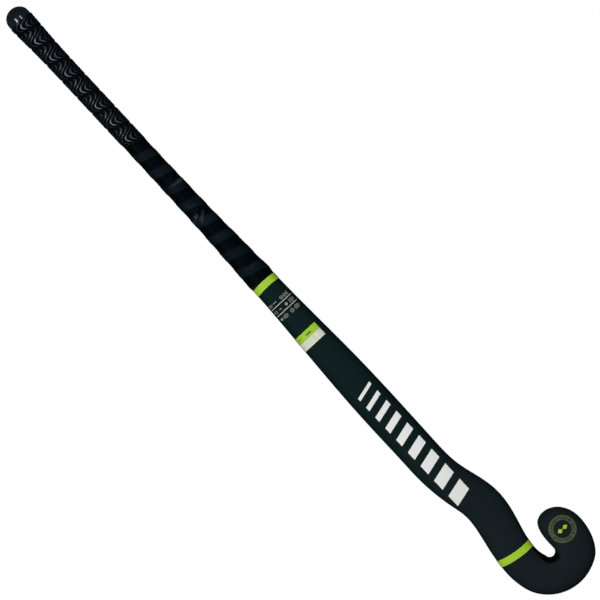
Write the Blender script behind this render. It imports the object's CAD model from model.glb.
from math import ceil, cos, pi, radians, sin

import bpy
import numpy as np
from mathutils import Matrix, Vector
from mathutils.bvhtree import BVHTree


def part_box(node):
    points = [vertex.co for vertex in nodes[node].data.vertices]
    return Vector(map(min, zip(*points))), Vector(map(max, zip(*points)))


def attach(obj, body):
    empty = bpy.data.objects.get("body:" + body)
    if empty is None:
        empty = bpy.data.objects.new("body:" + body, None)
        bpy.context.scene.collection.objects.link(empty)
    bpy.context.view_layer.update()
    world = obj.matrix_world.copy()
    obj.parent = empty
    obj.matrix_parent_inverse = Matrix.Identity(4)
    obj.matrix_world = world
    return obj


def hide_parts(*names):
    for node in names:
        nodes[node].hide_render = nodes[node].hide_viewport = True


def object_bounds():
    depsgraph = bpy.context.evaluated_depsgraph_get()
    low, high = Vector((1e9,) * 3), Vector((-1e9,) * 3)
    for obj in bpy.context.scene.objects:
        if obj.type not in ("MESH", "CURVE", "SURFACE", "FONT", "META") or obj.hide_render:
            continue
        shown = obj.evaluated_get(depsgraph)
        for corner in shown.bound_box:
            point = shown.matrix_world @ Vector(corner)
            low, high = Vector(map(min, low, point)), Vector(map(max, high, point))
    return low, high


# Looks of a field hockey stick that lies on its playing face. Everything is in metres.
# x runs from the butt to the heel, y towards the toe, z from the playing face to the back.
# Places along the stick are distances from the butt, places across it from the handle's axis.

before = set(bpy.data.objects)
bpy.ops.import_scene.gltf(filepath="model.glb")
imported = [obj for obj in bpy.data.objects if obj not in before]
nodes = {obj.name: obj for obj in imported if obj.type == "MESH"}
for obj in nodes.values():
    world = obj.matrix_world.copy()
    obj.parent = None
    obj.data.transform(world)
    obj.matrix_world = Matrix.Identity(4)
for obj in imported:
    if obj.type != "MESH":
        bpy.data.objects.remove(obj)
CAD_LOW, CAD_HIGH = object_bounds()

MM = 0.001
BUTT_X = CAD_LOW.x
AXIS_Y = sum(corner.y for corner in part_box("butt_cap")) / 2   # the handle's axis
UP, DOWN = Vector((0, 0, 1)), Vector((0, 0, -1))

# ---------------------------------------------------------------- sizes
# Both tapes. A share is a place across one turn of the tape, from 0 at one edge to 1 at the other.
PITCH = 25.4 * MM            # the tapes move on this far in one turn
SEAM_X = 207.9 * MM          # the seam between the tapes crosses the top of the handle here
GRIP_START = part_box("grip_tape_textured")[0].x - BUTT_X
GRIP_END = 425.0 * MM        # the smooth tape ends in an arc, here on the centre line
BAND_CENTRE_X = 532.2 * MM   # centre of that arc
BAND_HALF_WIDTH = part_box("grip_finish_band")[1].y - AXIS_Y
CROWDING = 2.2 * MM          # the first turn beside the cap lies closer by this much
RIM_DEPTH = 0.6 * MM         # the wound tapes turn in this far at their ends

# Wavy ridges of the textured tape
TEXTURED_TURNS = -8.0, 8.0   # the first turn, counted from the seam, and how many there are
TEXTURED_MESH = 60, 216      # mesh rows in one turn, columns round the handle
RIDGES = 15                  # round the handle
RIDGE_DEPTH = 0.62 * MM
RIDGE_SWING = 1.34           # the ridges swing this many ridge spacings to each side
RIDGE_PHASE = 0.623          # and are turned by this many
RIDGE_HUMP = 0.163           # share at which they swing out furthest
RIDGE_HALF_WAVE = 0.58       # shares from there to where they swing back furthest
RIDGE_FLANK = -0.3, 0.45     # between -1 midway between two ridges and 1 on top, a flank rises here
WORN_FLANK = 0.2, 0.95       # and the wear sets in here
WORN_SHARE = 0.3             # the wear grows over this share from the tape's first edge
RIDGE_MARGIN = 0.03, 0.10    # the ridges rise between these shares from either edge
SEAM_DEPTH = 0.20 * MM       # a groove where two turns meet
SEAM_SHARE = 0.035           # on either side of the seam

# Half-lapped bands of the smooth tape
SMOOTH_TURNS = 0.0, 9.5
SMOOTH_MESH = 44, 176
LAP_START, LAP_SHARE = 0.56, 0.48      # the tape lies double from here over this share
LAP_RISE, LAP_FALL = 0.05, 0.03        # shares over which the lap's edges rise and fall
LAP_HEIGHT = 0.32 * MM
SAG, WAVER = 0.10 * MM, 0.05 * MM      # unevenness of the single and of the whole tape
FOLD_DEPTH = 0.55 * MM
FOLD_ROOM = 0.25 * MM                  # the tape lies this deep, which leaves room for the folds
HOLLOW_SHADE = 1.3                     # how fast a hollow between folds loses its sheen

# Folds and hollows of the smooth tape: x, lean of x with y, y, half length, half width, all in
# millimetres, and the height as a share of FOLD_DEPTH
FOLD_HALF_WIDTH = 13.2                 # half the handle's width
FOLDS = [
    (275.4, 0.15, 6.0, 10.0, 2.5, 0.6),     # a soft fold across the back, wider towards one edge
    (275.8, 0.0, 10.0, 5.0, 3.6, 0.5),
    (276.0, 0.1, 2.0, 6.0, 0.9, 0.3),
    (267.2, -0.84, 3.0, 6.5, 4.2, -0.2),    # a hollow beside it with three wrinkles
    (263.6, -0.84, 4.0, 5.0, 0.7, 0.5),
    (266.6, -0.84, 3.2, 5.5, 0.7, 0.6),
    (269.6, -0.84, 2.6, 5.5, 0.7, 0.5),
    (323.4, -0.86, 0.1, 6.0, 2.3, 0.85),    # a slanted fold and the hollows round its foot
    (316.5, 0.0, 5.0, 3.5, 2.0, -0.8),
    (313.4, 0.38, 0.6, 7.0, 1.2, 0.3),
    (320.0, -0.58, -1.5, 6.0, 1.2, -0.9),
    (320.2, 0.0, -5.2, 3.4, 3.0, 1.3),      # a bump between them
    (321.2, 0.0, -11.4, 1.8, 3.0, 0.5),
    (307.0, 0.4, -1.0, 9.0, 2.6, 0.3),
    (310.6, 0.4, -1.0, 7.0, 1.0, -0.4),
    (403.6, -0.3, 3.0, 5.0, 1.2, 0.4),      # a faint crease near the lower end
    (400.4, -0.2, 4.0, 5.0, 1.4, -0.5),
]

# Lacquer and print
TEAL_FADE = 640 * MM, 800 * MM         # the shaft's teal cast fades between these places
HOOK_EDGE_X, HOOK_EDGE_Y = 878 * MM, 29 * MM       # centre of the arc of the hook's dark edge
HOOK_EDGE_RADIUS, HOOK_EDGE_BLUR = 12.2 * MM, 0.9 * MM
HOOK_EDGE_START = 854 * MM, 856 * MM   # it comes out from under the stripe here,
HOOK_EDGE_TOP = 37 * MM, 34 * MM       # fades on the toe side of the gap
HOOK_EDGE_FOOT = 4 * MM, 7 * MM        # and doesn't reach down to the playing face
MARK_LOW = -0.02 * MM        # printed marks reach from under the lacquer's surface
MARK_HIGH = 0.33 * MM        # to over the films
MARK_STEP = 1.3 * MM         # they are divided into cells of about this size


# ---------------------------------------------------------------- materials
def connect(tree, value, socket):
    """Set a socket to a number or a colour, or link another socket to it."""
    if isinstance(value, bpy.types.NodeSocket):
        tree.links.new(value, socket)
    elif isinstance(value, tuple):
        socket.default_value = (*value, 1.0)
    else:
        socket.default_value = value


def new_material(name, specular):
    """A Principled material, with its node tree and the shader's sockets."""
    material = bpy.data.materials.new(name)
    material.use_nodes = True
    sockets = material.node_tree.nodes["Principled BSDF"].inputs
    sockets["Specular IOR Level"].default_value = specular
    return material, material.node_tree, sockets


def noise(tree, scale, detail=3.0):
    coordinates = tree.nodes.new("ShaderNodeTexCoord")
    texture = tree.nodes.new("ShaderNodeTexNoise")
    texture.inputs["Scale"].default_value = scale
    texture.inputs["Detail"].default_value = detail
    tree.links.new(coordinates.outputs["Object"], texture.inputs["Vector"])
    return texture.outputs["Fac"]


def attribute(tree, name):
    node = tree.nodes.new("ShaderNodeAttribute")
    node.attribute_name = name
    return node.outputs["Fac"]


def place(tree):
    """The x, y and z of a point in the frame."""
    coordinates = tree.nodes.new("ShaderNodeTexCoord")
    split = tree.nodes.new("ShaderNodeSeparateXYZ")
    tree.links.new(coordinates.outputs["Object"], split.inputs["Vector"])
    return [split.outputs[axis] for axis in "XYZ"]


def calculated(tree, operation, first, second=0.0):
    """The result of a Math node. Both terms are numbers or sockets."""
    node = tree.nodes.new("ShaderNodeMath")
    node.operation = operation
    connect(tree, first, node.inputs[0])
    connect(tree, second, node.inputs[1])
    return node.outputs["Value"]


def mixed(tree, factor, low, high):
    """A colour that goes from low to high with a factor. Both are colours or sockets."""
    node = tree.nodes.new("ShaderNodeMix")
    node.data_type = "RGBA"
    connect(tree, factor, node.inputs["Factor"])
    connect(tree, low, node.inputs["A"])
    connect(tree, high, node.inputs["B"])
    return node.outputs["Result"]


def mapped(tree, value, start=0.0, end=1.0, low=0.0, high=1.0, curve="LINEAR"):
    """A number that goes from low to high while a value goes from start to end."""
    node = tree.nodes.new("ShaderNodeMapRange")
    node.interpolation_type = curve
    connect(tree, value, node.inputs["Value"])
    for name, limit in (("From Min", start), ("From Max", end), ("To Min", low), ("To Max", high)):
        node.inputs[name].default_value = limit
    return node.outputs["Result"]


def eased(tree, value, start, end):
    """Goes smoothly from 0 to 1 while a value goes from start to end, up or down."""
    return mapped(tree, value, start, end, curve="SMOOTHSTEP")


def roughen(tree, sockets, factor, low, high):
    connect(tree, mapped(tree, factor, low=low, high=high), sockets["Roughness"])


def add_grain(tree, sockets, scale, depth, strength):
    """A fine bump. The scale is about how many grains there are in a metre."""
    node = tree.nodes.new("ShaderNodeBump")
    node.inputs["Strength"].default_value = strength
    node.inputs["Distance"].default_value = depth
    tree.links.new(noise(tree, scale), node.inputs["Height"])
    tree.links.new(node.outputs["Normal"], sockets["Normal"])


def hook_edge(tree):
    """1 on the dark edge round the inner end of the hook's gap, 0 elsewhere."""
    x, y, z = place(tree)
    past_x = calculated(tree, "SUBTRACT", x, BUTT_X + HOOK_EDGE_X)
    past_x = calculated(tree, "MAXIMUM", past_x)
    past_y = calculated(tree, "SUBTRACT", y, AXIS_Y + HOOK_EDGE_Y)
    square_x = calculated(tree, "MULTIPLY", past_x, past_x)
    square_y = calculated(tree, "MULTIPLY", past_y, past_y)
    distance = calculated(tree, "SQRT", calculated(tree, "ADD", square_x, square_y))
    share = eased(tree, distance, HOOK_EDGE_RADIUS + HOOK_EDGE_BLUR, HOOK_EDGE_RADIUS - HOOK_EDGE_BLUR)
    limits = ((x, BUTT_X, HOOK_EDGE_START), (y, AXIS_Y, HOOK_EDGE_TOP), (z, 0.0, HOOK_EDGE_FOOT))
    for value, origin, (start, end) in limits:
        inside = eased(tree, value, origin + start, origin + end)
        share = calculated(tree, "MULTIPLY", share, inside)
    return share


def shell_lacquer():
    """Satin charcoal lacquer, with a teal cast on the shaft and a near black hook edge."""
    material, tree, sockets = new_material("shell_lacquer", 0.025)
    shaft, head, edge = (0.0043, 0.0124, 0.0132), (0.0082, 0.0143, 0.0166), (0.0010, 0.0017, 0.0020)
    teal_start, teal_end = TEAL_FADE
    towards_head = eased(tree, place(tree)[0], BUTT_X + teal_start, BUTT_X + teal_end)
    lacquer = mixed(tree, towards_head, shaft, head)
    connect(tree, mixed(tree, hook_edge(tree), lacquer, edge), sockets["Base Color"])
    roughen(tree, sockets, noise(tree, 400.0), 0.54, 0.66)
    add_grain(tree, sockets, 1800.0, 0.02 * MM, 0.4)
    return material


def textured_rubber():
    """Blue-black polyurethane, with the tops of the ridges worn to a grey sheen."""
    material, tree, sockets = new_material("textured_rubber", 0.68)
    worn = attribute(tree, "ridge")
    colour = mixed(tree, worn, (0.0006, 0.0016, 0.0032), (0.0055, 0.0085, 0.0110))
    sheen = mixed(tree, worn, (0.03, 0.06, 0.09), (0.84, 0.97, 1.0))
    connect(tree, colour, sockets["Base Color"])
    connect(tree, sheen, sockets["Specular Tint"])
    roughen(tree, sockets, worn, 0.8, 0.30)
    add_grain(tree, sockets, 2500.0, 0.03 * MM, 0.5)
    return material


def smooth_rubber():
    """Blue-black polyurethane, lighter where the tape lies double and grey on its folds."""
    material, tree, sockets = new_material("smooth_rubber", 0.012)
    single, fold = (0.0002, 0.0022, 0.0030), (0.026, 0.038, 0.040)
    double = mixed(tree, noise(tree, 28.0, 1.0), (0.0043, 0.0080, 0.0152), (0.0049, 0.0104, 0.0122))
    sheen = attribute(tree, "sheen")
    tape = mixed(tree, sheen, single, double)
    on_fold = mapped(tree, sheen, 1.0, 2.0)
    connect(tree, mixed(tree, on_fold, tape, fold), sockets["Base Color"])
    roughen(tree, sockets, noise(tree, 300.0), 0.42, 0.52)
    add_grain(tree, sockets, 1500.0, 0.03 * MM, 0.5)
    return material


def cap_gloss():
    """Near black moulded plastic, almost polished."""
    material, tree, sockets = new_material("cap_gloss", 0.9)
    connect(tree, (0.0068, 0.0122, 0.0160), sockets["Base Color"])
    roughen(tree, sockets, noise(tree, 250.0), 0.06, 0.12)
    add_grain(tree, sockets, 900.0, 0.03 * MM, 0.35)
    return material


def printed(name, colour, roughness=0.5, mottling=0.06):
    """An even colour with slight mottling."""
    material, tree, sockets = new_material(name, 0.1)
    darker = tuple(channel * (1 - mottling) for channel in colour)
    connect(tree, mixed(tree, noise(tree, 700.0), darker, colour), sockets["Base Color"])
    connect(tree, roughness, sockets["Roughness"])
    return material


LIME = (0.375, 0.635, 0.037)
FILM_ROUGHNESS = 0.42
MATERIALS = {
    "shell": shell_lacquer(),
    "textured": textured_rubber(),
    "smooth": smooth_rubber(),
    "cap": cap_gloss(),
    "lime": printed("lime_film", LIME, FILM_ROUGHNESS),
    "lime_tape": printed("lime_tape", LIME),
    "label_lime": printed("label_lime", (0.34, 0.60, 0.036), FILM_ROUGHNESS),
    "white": printed("white_film", (0.82, 0.84, 0.81), FILM_ROUGHNESS),
    "label_white": printed("label_white", (0.72, 0.745, 0.595), FILM_ROUGHNESS),
    "badge": printed("badge_film", (0.073, 0.104, 0.048), 0.45, 0.25),
    "badge_ink": printed("badge_ink", (0.009, 0.015, 0.015)),
    "ink": printed("label_ink", (0.03, 0.05, 0.03)),
    "grey_ink": printed("label_grey_ink", (0.40, 0.42, 0.33)),
    "fine_white": printed("fine_white_print", (0.30, 0.32, 0.30)),
    "line_white": printed("line_white_print", (0.56, 0.57, 0.50)),
    "inside": printed("inner_laminate", (0.02, 0.02, 0.02), 0.6, 0.3),
    "foam": printed("closed_cell_foam", (0.65, 0.58, 0.35), 0.8, 0.3),
}

CAD_MATERIALS = {
    "laminate_shell": "shell",
    "inner_tube_toe_side": "inside",
    "inner_tube_heel_side": "inside",
    "damping_plug_toe_side": "foam",
    "damping_plug_heel_side": "foam",
    "head_foam_core": "foam",
    "butt_cap": "cap",
    "grip_underlay": "foam",
    "grip_tape_textured": "textured",
    "grip_tape_smooth": "smooth",
    "grip_finish_band": "lime_tape",
    "head_stripe": "lime",
    "size_label_lime": "label_lime",
    "size_label_white": "label_white",
    "spec_print": "white",
    "shaft_graphic": "white",
    "badge_ring": "badge",
    "badge_emblem": "lime",
}
for node, material in CAD_MATERIALS.items():
    nodes[node].data.materials.clear()
    nodes[node].data.materials.append(MATERIALS[material])


# ---------------------------------------------------------------- making pieces
def add_piece(name, vertices, faces, material, smooth=False):
    mesh = bpy.data.meshes.new(name)
    mesh.from_pydata([tuple(v) for v in vertices], [], faces)
    mesh.materials.append(MATERIALS[material])
    if smooth:
        mesh.shade_smooth()
    else:
        mesh.shade_flat()
    piece = bpy.data.objects.new(name, mesh)
    bpy.context.scene.collection.objects.link(piece)
    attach(piece, "root")
    return piece


def surface_of(node):
    mesh = nodes[node].data
    return BVHTree.FromPolygons([v.co for v in mesh.vertices], [p.vertices for p in mesh.polygons])


def smoothstep(low, high, value):
    t = np.clip((value - low) / (high - low), 0.0, 1.0)
    return t * t * (3 - 2 * t)


# ---------------------------------------------------------------- wound tapes
class Sleeve:
    """The outside of a CAD sleeve as a centre height and a radius for each x and angle.
    Angle 0 is straight up and grows towards the toe side."""
    STATIONS, COLUMNS = 60, 96
    INSET = 0.02 * MM            # the first and the last station lie inside the ends by this much
    REACH = 50 * MM              # rays start this far outside

    def __init__(self, node):
        low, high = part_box(node)
        skin = surface_of(node)
        end = min(high.x, BUTT_X + GRIP_END)
        self.x = np.linspace(low.x + self.INSET, end - self.INSET, self.STATIONS)
        angles = np.linspace(0, 2 * pi, self.COLUMNS, endpoint=False)
        directions = [Vector((0, sin(angle), cos(angle))) for angle in angles]
        self.centre = []
        self.radius = np.zeros((self.STATIONS, self.COLUMNS))
        for station, x in enumerate(self.x):
            top = skin.ray_cast(Vector((x, AXIS_Y, high.z + self.REACH)), DOWN)[0]
            bottom = skin.ray_cast(Vector((x, AXIS_Y, low.z - self.REACH)), UP)[0]
            centre = Vector((x, AXIS_Y, (top.z + bottom.z) / 2))
            self.centre.append(centre.z)
            for column, out in enumerate(directions):
                hit = skin.ray_cast(centre + out * self.REACH, -out)[0]
                self.radius[station, column] = (hit - centre).length

    def at(self, x, angle):
        """Centre height and radius, interpolated, for arrays of x and angle."""
        place_round = (angle % (2 * pi)) / (2 * pi) * self.COLUMNS
        here = np.floor(place_round).astype(int) % self.COLUMNS
        after = (here + 1) % self.COLUMNS
        share_round = place_round - np.floor(place_round)
        place_along = (x - self.x[0]) / (self.x[1] - self.x[0])
        place_along = np.clip(place_along, 0, self.STATIONS - 1.001)     # short of the last station
        low = place_along.astype(int)
        share_along = place_along - low
        below = self.radius[low, here] * (1 - share_round) + self.radius[low, after] * share_round
        above = self.radius[low + 1, here] * (1 - share_round) + self.radius[low + 1, after] * share_round
        return np.interp(x, self.x, self.centre), below * (1 - share_along) + above * share_along


def band_arc(angle):
    """Where the edge of the finishing band lies, seen from above a handle of its width."""
    y = BAND_HALF_WIDTH * np.sin(angle)
    return BAND_CENTRE_X - np.sqrt((BAND_CENTRE_X - GRIP_END) ** 2 - y ** 2)


def join_turns(points, marks, shown, rows):
    """Vertices, faces and marks of a wound grid. The last column of a line is left out where it
    lies on the first column of the line one turn further on."""
    lines, columns = marks.shape[0], marks.shape[1] - 1
    line, column = np.meshgrid(np.arange(lines), np.arange(columns + 1), indexing="ij")
    index = line * columns + column
    joined = (column == columns) & (line + rows < lines)
    loose = (column == columns) & ~joined
    index[joined] = (line[joined] + rows) * columns
    index[loose] = lines * columns + np.arange(loose.sum())
    vertices = np.zeros((lines * columns + loose.sum(), 3))
    values = np.zeros(len(vertices))
    vertices[index[~joined]] = points[~joined]
    values[index[~joined]] = marks[~joined]
    quads = np.stack([index[:-1, :-1], index[1:, :-1], index[1:, 1:], index[:-1, 1:]], -1)
    quads = quads[shown[:-1, :-1] | shown[1:, :-1] | shown[1:, 1:] | shown[:-1, 1:]]
    used, faces = np.unique(quads, return_inverse=True)
    return vertices[used], faces.reshape(quads.shape).tolist(), values[used]


def wind(name, node, turns, mesh_size, relief, mark_name, material):
    """A tape wound round the handle in place of a CAD sleeve. The mesh's rows follow the tape's
    edges, so that after one turn a row meets the row one pitch further on. The tape is cut square
    at the start and along the finishing band at the end, and turned in at both."""
    first_turn, turn_count = turns
    rows, columns = mesh_size
    line, column = np.meshgrid(np.arange(int(turn_count * rows) + 1), np.arange(columns + 1), indexing="ij")
    angle = -pi + 2 * pi * column / columns
    along = first_turn + line / rows
    even_x = SEAM_X + PITCH * (along + angle / (2 * pi))
    free_x = even_x + CROWDING * (1 - smoothstep(GRIP_START, GRIP_START + PITCH, even_x))
    end = band_arc(angle)
    x = np.clip(free_x, GRIP_START, end)
    past = np.maximum(GRIP_START - free_x, free_x - end)
    depth, marks = relief(x, angle, along)
    centre, radius = Sleeve(node).at(x + BUTT_X, angle)
    radius = radius - (depth + np.clip(past, 0, RIM_DEPTH))
    points = np.stack([x + BUTT_X, AXIS_Y + radius * np.sin(angle), centre + radius * np.cos(angle)], -1)
    vertices, faces, values = join_turns(points, marks, past < RIM_DEPTH, rows)
    tape = add_piece(name, vertices, faces, material, smooth=True)
    tape.data.attributes.new(mark_name, "FLOAT", "POINT").data.foreach_set("value", values)
    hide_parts(node)


# Relief of each tape: how far the surface lies under the sleeve, and a mark for the material.
def wavy_ridges(x, angle, along):
    """Wavy ridges with worn tops, and a groove where two turns meet."""
    share = along % 1.0
    from_edge = np.minimum(share, 1 - share)
    wave = RIDGE_SWING * np.cos(pi * (share - RIDGE_HUMP) / RIDGE_HALF_WAVE)
    crest = np.cos(RIDGES * angle - 2 * pi * (wave + RIDGE_PHASE))
    margin = smoothstep(*RIDGE_MARGIN, from_edge)
    groove = 1 - smoothstep(0.0, SEAM_SHARE, from_edge)
    depth = RIDGE_DEPTH * (1 - smoothstep(*RIDGE_FLANK, crest) * margin) + SEAM_DEPTH * groove
    worn = smoothstep(*WORN_FLANK, crest) * margin * smoothstep(0.0, WORN_SHARE, share)
    return depth, worn


def folds(x, angle):
    """Height of the places where the smooth tape has rucked up on the back."""
    y = FOLD_HALF_WIDTH * np.sin(angle)
    height = np.zeros_like(x)
    for at_x, lean, at_y, reach, width, size in FOLDS:
        across = (x / MM - at_x - lean * (y - at_y)) / width
        along = (y - at_y) / reach
        height += size * np.exp(-across ** 2) * np.exp(-along ** 4)
    return height * (np.cos(angle) > 0)


def lapped_bands(x, angle, along):
    """Each turn lies half over the one before, so one half of it stands higher and shines more.
    The mark goes on from 1 to 2 on the folds."""
    turn = np.floor(along)
    share = (along - LAP_START) % 1.0
    double = smoothstep(0.0, LAP_RISE, share) * (1 - smoothstep(LAP_SHARE - LAP_FALL, LAP_SHARE, share))
    sag = SAG * np.sin(pi * np.clip((share - LAP_SHARE) / (1 - LAP_SHARE), 0, 1))
    waver = WAVER * np.sin(3 * angle + 2.1 * turn) * np.sin(pi * share)
    height = folds(x, angle)
    depth = LAP_HEIGHT * (1 - double) + sag + waver + FOLD_ROOM - FOLD_DEPTH * height
    sheen = double * (0.85 + 0.15 * np.sin(1.7 * turn + 0.6))     # a little different each turn
    sheen = sheen * (1 - np.clip(-HOLLOW_SHADE * height, 0, 1))
    return np.maximum(depth, 0.0), sheen + np.clip(height, 0, 1) * (2 - sheen)


# ---------------------------------------------------------------- printed marks
SHELL_SURFACE = surface_of("laminate_shell")


def plate(corners):
    """Vertices and faces of a small thin plate, laid on the back of the stick. Its four corners,
    counterclockwise, are distances from the butt and from the handle's axis."""
    a, b, c, d = (Vector(corner) for corner in corners)
    columns = ceil((b - a).length / MARK_STEP)
    rows = ceil((d - a).length / MARK_STEP)
    vertices = []
    for i in range(columns + 1):
        for j in range(rows + 1):
            spot = a.lerp(b, i / columns).lerp(d.lerp(c, i / columns), j / rows)
            above = Vector((BUTT_X + spot.x, AXIS_Y + spot.y, CAD_HIGH.z + MARK_STEP))
            hit, normal = SHELL_SURFACE.ray_cast(above, DOWN)[:2]
            vertices += [hit + normal * MARK_LOW, hit + normal * MARK_HIGH]

    def at(i, j, top):
        return 2 * (i * (rows + 1) + j) + top

    faces = []
    for i in range(columns):
        for j in range(rows):
            cell = [(i, j), (i + 1, j), (i + 1, j + 1), (i, j + 1)]
            faces.append([at(*corner, 1) for corner in cell])
            faces.append([at(*corner, 0) for corner in reversed(cell)])
    rim = [(i, 0) for i in range(columns)] + [(columns, j) for j in range(rows)]
    rim += [(i, rows) for i in range(columns, 0, -1)] + [(0, j) for j in range(rows, 0, -1)]
    for here, after in zip(rim, rim[1:] + rim[:1]):
        faces.append([at(*here, 0), at(*after, 0), at(*after, 1), at(*here, 1)])
    return vertices, faces


def print_marks(name, outlines, material):
    """One piece made of a plate for each outline."""
    vertices, faces = [], []
    for corners in outlines:
        plate_vertices, plate_faces = plate(corners)
        faces += [[len(vertices) + vertex for vertex in face] for face in plate_faces]
        vertices += plate_vertices
    return add_piece(name, vertices, faces, material)


# The figures below take millimetres and give the corners of their bars in metres.
def bar(x, y, length_x, length_y, turn=0.0):
    """A small bar, turned about its centre."""
    corners = []
    for side_x, side_y in ((-1, -1), (1, -1), (1, 1), (-1, 1)):
        dx, dy = side_x * length_x / 2, side_y * length_y / 2
        turned_x, turned_y = dx * cos(turn) - dy * sin(turn), dx * sin(turn) + dy * cos(turn)
        corners.append(((x + turned_x) * MM, (y + turned_y) * MM))
    return corners


def diamond(x, y, side):
    return [bar(x, y, side, side, pi / 4)]


def stack(x, top_y, lengths):
    """Strokes along the stick, one beside the other and every second one a little further on."""
    pitch, width, shift = 1.75, 0.62, 0.3
    return [bar(x + k % 2 * shift, top_y - k * pitch, size, width) for k, size in enumerate(lengths)]


def ring(x, y, radius):
    """A ring of short strokes with a dot in the middle."""
    strokes, width, overlap, dot = 14, 0.6, 1.1, 1.1
    length = overlap * 2 * pi * radius / strokes
    found = diamond(x, y, dot)
    for k in range(strokes):
        turn = 2 * pi * k / strokes
        found.append(bar(x + radius * cos(turn), y + radius * sin(turn), width, length, turn))
    return found


def square(x, y, side):
    """The outline of a square."""
    reach, width = side / 2, 0.5
    across_x = [bar(x, y + s * reach, side + width, width) for s in (-1, 1)]
    across_y = [bar(x + s * reach, y, width, side - width) for s in (-1, 1)]
    return across_x + across_y


def row_of_dashes(x, top_y, width, sizes, gap):
    """Dashes across the stick, one after the other."""
    dashes = []
    y = top_y
    for size in sizes:
        dashes.append(bar(x, y - size / 2, width, size))
        y -= size + gap
    return dashes


def spec_lines():
    """Two fine lines across the shaft below the grip."""
    width, length = 0.8, 29.2
    return [bar(x, -1.0, width, length) for x in (457.3, 466.8)]


def spec_marks():
    """Three rows of small plain figures above, between and below the lines."""
    dashes = [bar(452.7, -7.2, 0.9, 5.2), bar(462.5, -6.9, 0.9, 2.8)]
    upper = stack(453.2, 11.2, (5.0, 3.0, 5.0, 3.8)) + ring(453.2, 2.4, 1.7) + square(452.9, -13.2, 2.6)
    middle = stack(462.3, 12.1, (3.4, 5.4, 4.6, 5.2)) + diamond(462.5, 1.9, 3.1) + square(462.4, -13.3, 2.6)
    lower = stack(472.3, 12.0, (3.0, 5.2, 5.4, 4.2)) + ring(472.6, 1.9, 2.0)
    lower += stack(472.2, -4.9, (2.8, 5.0, 5.2, 4.0)) + diamond(472.4, -13.6, 2.7)
    return dashes + upper + middle + lower


def label_marks():
    """Two rows of short dashes along the lime strip of the size label."""
    bold = row_of_dashes(504.3, 0.8, 1.9, (1.3, 0.9, 1.5, 1.1, 0.8, 1.4, 1.0), 0.3)
    fine = row_of_dashes(503.9, -11.8, 1.4, (1.1, 0.8, 1.3, 0.8), 0.45)
    return bold + fine


def white_label_marks():
    """Fine lines of broken dashes on the white strip."""
    lines, first_x, spacing, width, gap, top_y = 5, 509.9, 1.6, 0.34, 0.7, 9.6
    dashes = []
    for line in range(lines):
        sizes = [3.4 + 1.8 * sin(2.3 * k + 1.7 * line) for k in range(6)]
        dashes += row_of_dashes(first_x + spacing * line, top_y, width, sizes, gap)
    return dashes


def badge_marks():
    """Ticks round the badge's ring, with a short arc in place of three ticks on either side."""
    places, radius = 48, 13.0
    tick_width, tick_reaches = 0.9, (3.8, 2.2, 3.4, 1.4)
    arc_places, arc_width, arc_reach = (13, 36), 4.6, 1.9
    low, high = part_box("badge_ring")
    centre_x = ((low.x + high.x) / 2 - BUTT_X) / MM
    centre_y = ((low.y + high.y) / 2 - AXIS_Y) / MM
    marks = []
    for k in range(places):
        turn = 2 * pi * k / places
        x, y = centre_x + radius * cos(turn), centre_y + radius * sin(turn)
        if k in arc_places:
            marks.append(bar(x, y, arc_reach, arc_width, turn))
        elif k - 1 not in arc_places and k + 1 not in arc_places:
            marks.append(bar(x, y, tick_reaches[k % len(tick_reaches)], tick_width, turn))
    return marks


# ---------------------------------------------------------------- build the pieces
wind("grip_tape_wound_textured", "grip_tape_textured", TEXTURED_TURNS, TEXTURED_MESH, wavy_ridges,
     "ridge", "textured")
wind("grip_tape_wound_smooth", "grip_tape_smooth", SMOOTH_TURNS, SMOOTH_MESH, lapped_bands,
     "sheen", "smooth")
lines = print_marks("spec_lines", spec_lines(), "line_white")
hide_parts("spec_print")
print_marks("spec_marks", spec_marks(), "fine_white")
print_marks("label_dashes", label_marks(), "ink")
print_marks("label_fine_dashes", white_label_marks(), "grey_ink")
print_marks("badge_ticks", badge_marks(), "badge_ink")

# ---------------------------------------------------------------- floor, light and camera
FLOOR_SIZE = 6.0
FLOOR_HEIGHT = -1 * MM
FLOOR_ALBEDO = 0.05            # the floor and the world are dim to all but the camera,
WORLD_STRENGTH = 0.04          # so that the softboxes do the lighting
VIEW_WIDTH = 0.6889            # what the picture's width spans at the height of the outline
VIEW_CENTRE = Vector((0.0066, -0.0124, 0.014))
CAMERA_DISTANCE = 7.0
CAMERA_TURN = radians(47.05)   # the handle points to the picture's upper left
SENSOR = 36.0
FAR_LIMIT = 50.0
WHITE = (1.0, 1.0, 1.0, 1.0)


def pale_floor():
    """White to the camera whatever falls on it, dark grey to everything else."""
    material = bpy.data.materials.new("pale_floor")
    material.use_nodes = True
    tree = material.node_tree
    tree.nodes.clear()
    seen = tree.nodes.new("ShaderNodeEmission")
    seen.inputs["Color"].default_value = WHITE
    lit = tree.nodes.new("ShaderNodeBsdfDiffuse")
    lit.inputs["Color"].default_value = (FLOOR_ALBEDO, FLOOR_ALBEDO, FLOOR_ALBEDO, 1.0)
    path = tree.nodes.new("ShaderNodeLightPath")
    mix = tree.nodes.new("ShaderNodeMixShader")
    output = tree.nodes.new("ShaderNodeOutputMaterial")
    tree.links.new(path.outputs["Is Camera Ray"], mix.inputs["Fac"])
    tree.links.new(lit.outputs["BSDF"], mix.inputs[1])
    tree.links.new(seen.outputs["Emission"], mix.inputs[2])
    tree.links.new(mix.outputs["Shader"], output.inputs["Surface"])
    return material


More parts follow.
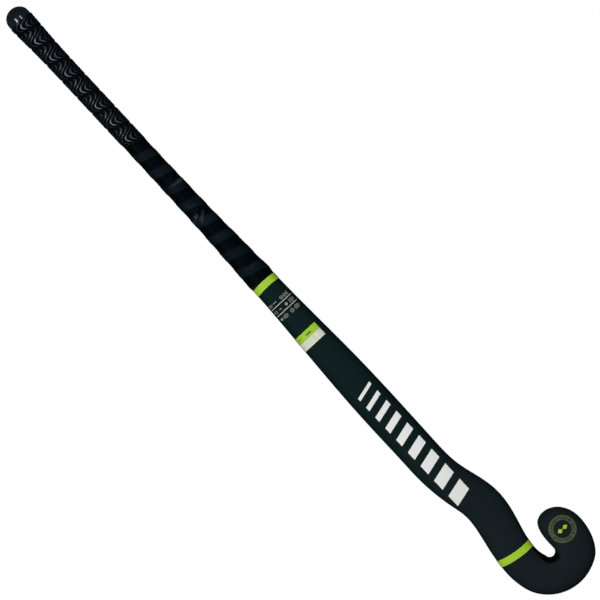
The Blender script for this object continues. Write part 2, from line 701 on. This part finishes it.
def add_floor():
    half = FLOOR_SIZE / 2
    corners = [(x, y, FLOOR_HEIGHT) for x, y in ((-half, -half), (half, -half), (half, half), (-half, half))]
    mesh = bpy.data.meshes.new("floor")
    mesh.from_pydata(corners, [], [(0, 1, 2, 3)])
    mesh.materials.append(pale_floor())
    floor = bpy.data.objects.new("floor", mesh)
    bpy.context.scene.collection.objects.link(floor)


def add_world():
    world = bpy.data.worlds.new("studio")
    world.use_nodes = True
    tree = world.node_tree
    background = tree.nodes["Background"]
    background.inputs["Color"].default_value = WHITE
    path = tree.nodes.new("ShaderNodeLightPath")
    strength = mapped(tree, path.outputs["Is Camera Ray"], low=WORLD_STRENGTH, high=1.0)
    tree.links.new(strength, background.inputs["Strength"])
    bpy.context.scene.world = world


def add_light(name, position, target_x, size, power, turn=0.0, mirrored=True):
    """A softbox that is aimed at a place on the floor, in line with the stick's middle."""
    light = bpy.data.lights.new(name, "AREA")
    light.shape = "RECTANGLE"
    light.size, light.size_y = size
    light.energy = power
    lamp = bpy.data.objects.new(name, light)
    lamp.location = position
    lamp.visible_glossy = mirrored
    aim = (Vector((target_x, 0, 0)) - Vector(position)).to_track_quat("-Z", "Y")
    lamp.rotation_euler = (aim.to_matrix() @ Matrix.Rotation(turn, 3, "Z")).to_euler()
    bpy.context.scene.collection.objects.link(lamp)


def add_camera():
    data = bpy.data.cameras.new("camera")
    data.sensor_width = SENSOR
    data.lens = SENSOR * CAMERA_DISTANCE / VIEW_WIDTH
    data.clip_end = FAR_LIMIT
    camera = bpy.data.objects.new("camera", data)
    camera.location = VIEW_CENTRE + CAMERA_DISTANCE * UP
    camera.rotation_euler = (0.0, 0.0, CAMERA_TURN)
    bpy.context.scene.collection.objects.link(camera)
    bpy.context.scene.camera = camera


add_floor()
add_world()
add_light("softbox_toe_side", (0.0, 0.75, 1.7), 0.0, (0.35, 1.6), 8.0, pi / 2)
add_light("softbox_heel_side", (0.06, -0.95, 1.7), 0.06, (0.6, 1.28), 26.0, pi / 2)
add_light("softbox_butt_end", (-0.86, -0.95, 1.7), -0.86, (0.6, 0.24), 4.5, pi / 2)
add_light("rim_toe_side", (-0.2, 1.8, 0.7), -0.2, (2.2, 1.0), 7.0, mirrored=False)
add_camera()
bpy.context.scene.view_settings.view_transform = "Standard"
